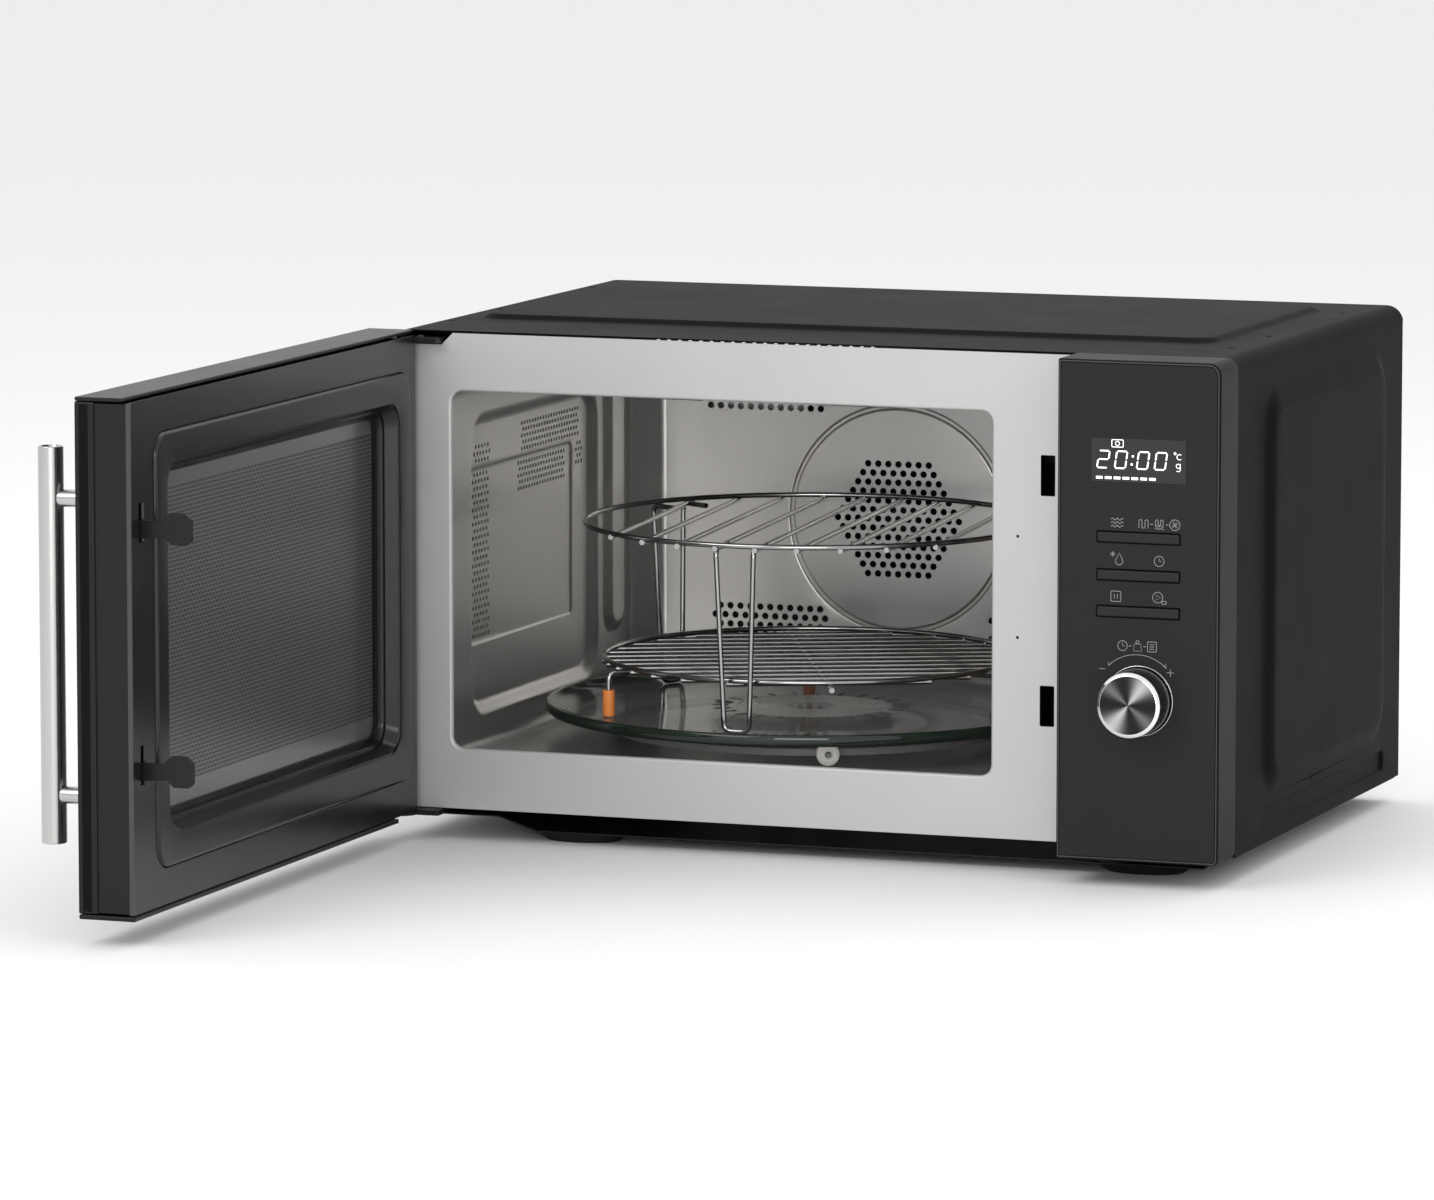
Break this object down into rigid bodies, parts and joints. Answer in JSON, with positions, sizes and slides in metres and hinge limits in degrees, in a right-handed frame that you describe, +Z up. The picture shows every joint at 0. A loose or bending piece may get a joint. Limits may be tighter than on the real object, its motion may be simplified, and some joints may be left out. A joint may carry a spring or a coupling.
{
  "type": "countertop microwave oven",
  "caption": "Countertop combination microwave oven with its door open: turntable, wire racks, grill and convection fan, knob and key panel, bar handle.",
  "frame": {"origin": "middle of the footprint of the stored pose (door open 90 degrees), at the level the feet stand on", "axes": "+Z up, +X to the right along the front, towards the control panel, +Y from the front into the cabinet; the open door reaches towards -Y"},
  "size_m": [0.5564, 0.7796, 0.2988],
  "materials": {
    "black_paint": "satin black powder coat with a fine texture",
    "black_plastic": "moulded black plastic, fine matt grain",
    "gloss_black": "polished black display window",
    "face_steel": "light satin steel around the cavity mouth",
    "cavity_steel": "warm grey satin stainless cavity",
    "zinc_steel": "zinc-plated pressed steel",
    "chrome": "polished chrome-plated wire and tube",
    "satin_steel": "turned satin knob with a bright bevel",
    "tray_glass": "clear toughened glass with a green edge",
    "dark_glass": "smoked glass",
    "white_plastic": "heat-proof white plastic",
    "orange_silicone": "soft orange silicone",
    "copper": "varnished copper windings on laminated steel",
    "board_green": "green circuit board",
    "mica": "pressed mica sheet",
    "rubber": "black rubber"
  },
  "bodies": {
    "cabinet": {"outer_cover": "black_paint", "base_pan": "black_plastic", "foot_front_left": "rubber", "foot_front_right": "rubber", "foot_rear_left": "rubber", "foot_rear_right": "rubber", "rear_panel": "zinc_steel", "rear_motor_cover": "zinc_steel", "front_plate": "face_steel", "cavity_liner": "cavity_steel", "cavity_back": "cavity_steel", "waveguide_cover": "mica", "grill_heater": "zinc_steel", "fan_housing": "zinc_steel", "ring_heater": "zinc_steel", "convection_motor": "zinc_steel", "waveguide": "zinc_steel", "magnetron": "zinc_steel", "transformer": "copper", "capacitor": "zinc_steel", "cooling_fan_motor": "black_plastic", "oven_lamp": "white_plastic", "turntable_motor": "zinc_steel", "interlock_switches": "black_plastic", "hinge_bracket_top": "black_paint", "hinge_bracket_bottom": "black_paint", "cord_gland": "rubber", "control_housing": "black_plastic", "control_face": "black_paint", "display_window": "gloss_black", "control_board": "board_green", "knob_bezel": "black_plastic"},
    "selector_knob": {"knob": "satin_steel"},
    "key_1": {"key_bar_1": "black_plastic"},
    "key_2": {"key_bar_2": "black_plastic"},
    "key_3": {"key_bar_3": "black_plastic"},
    "convection_fan": {"convection_impeller": "zinc_steel"},
    "cooling_fan": {"cooling_impeller": "black_plastic"},
    "turntable": {"drive_coupler": "white_plastic", "glass_tray": "tray_glass", "high_rack": "chrome", "low_rack": "chrome", "rack_sleeve_1": "orange_silicone", "rack_sleeve_2": "orange_silicone", "rack_sleeve_3": "orange_silicone"},
    "roller_ring": {"roller_carrier": "white_plastic"},
    "roller_1": {"roller_wheel_1": "white_plastic"},
    "roller_2": {"roller_wheel_2": "white_plastic"},
    "roller_3": {"roller_wheel_3": "white_plastic"},
    "door": {"door_frame": "black_plastic", "door_glass": "dark_glass", "door_top_cap": "black_plastic", "door_bottom_cap": "black_plastic", "door_inner_panel": "black_paint", "door_screen": "black_paint", "handle_bar": "chrome", "handle_post_lower": "chrome", "handle_post_upper": "chrome", "latch_spring": "zinc_steel"},
    "latch": {"latch_hooks": "black_plastic"}
  },
  "joints": [
    {"name": "door_hinge", "type": "hinge", "parent": "cabinet", "child": "door", "pos_m": [-0.2252, 0.01645, 0.1548], "axis": [0, 0, 1], "range_deg": [0, 90]},
    {"name": "latch_slide", "type": "slide", "parent": "door", "child": "latch", "axis": [0, 0, 1], "range_m": [0, 0.004], "stiffness_N_per_m": 400, "springref_m": -0.006},
    {"name": "knob_spin", "type": "hinge", "parent": "cabinet", "child": "selector_knob", "pos_m": [0.2314, -0.01855, 0.1068], "axis": [0, -1, 0], "continuous": true},
    {"name": "key_1_rock", "type": "hinge", "parent": "cabinet", "child": "key_1", "pos_m": [0.2305, -0.00455, 0.199], "axis": [0, 0, 1], "range_deg": [-2, 2], "stiffness_Nm_per_rad": 0.5},
    {"name": "key_2_rock", "type": "hinge", "parent": "cabinet", "child": "key_2", "pos_m": [0.2305, -0.00455, 0.1776], "axis": [0, 0, 1], "range_deg": [-2, 2], "stiffness_Nm_per_rad": 0.5},
    {"name": "key_3_rock", "type": "hinge", "parent": "cabinet", "child": "key_3", "pos_m": [0.2305, -0.00455, 0.1569], "axis": [0, 0, 1], "range_deg": [-2, 2], "stiffness_Nm_per_rad": 0.5},
    {"name": "turntable_spin", "type": "hinge", "parent": "cabinet", "child": "turntable", "pos_m": [-0.03305, 0.1866, 0.0548], "axis": [0, 0, 1], "continuous": true},
    {"name": "roller_ring_spin", "type": "hinge", "parent": "cabinet", "child": "roller_ring", "pos_m": [-0.03305, 0.1866, 0.0548], "axis": [0, 0, 1], "continuous": true},
    {"name": "roller_1_spin", "type": "hinge", "parent": "roller_ring", "child": "roller_1", "pos_m": [0.01739, 0.07332, 0.0549], "axis": [0.4067, -0.9135, 0], "continuous": true},
    {"name": "roller_2_spin", "type": "hinge", "parent": "roller_ring", "child": "roller_2", "pos_m": [0.03984, 0.28692, 0.0549], "axis": [0.5878, 0.809, 0], "continuous": true},
    {"name": "roller_3_spin", "type": "hinge", "parent": "roller_ring", "child": "roller_3", "pos_m": [-0.15637, 0.19956, 0.0549], "axis": [-0.9945, 0.1045, 0], "continuous": true},
    {"name": "convection_fan_spin", "type": "hinge", "parent": "cabinet", "child": "convection_fan", "pos_m": [-0.03305, 0.35445, 0.1598], "axis": [0, 1, 0], "continuous": true},
    {"name": "cooling_fan_spin", "type": "hinge", "parent": "cabinet", "child": "cooling_fan", "pos_m": [0.2122, 0.35245, 0.1748], "axis": [0, 1, 0], "continuous": true}
  ],
  "couplings": [
    {"joint": "roller_ring_spin", "follows": "turntable_spin", "ratio": 0.5},
    {"joint": "roller_1_spin", "follows": "turntable_spin", "ratio": -9.1176},
    {"joint": "roller_2_spin", "follows": "turntable_spin", "ratio": -9.1176},
    {"joint": "roller_3_spin", "follows": "turntable_spin", "ratio": -9.1176}
  ]
}
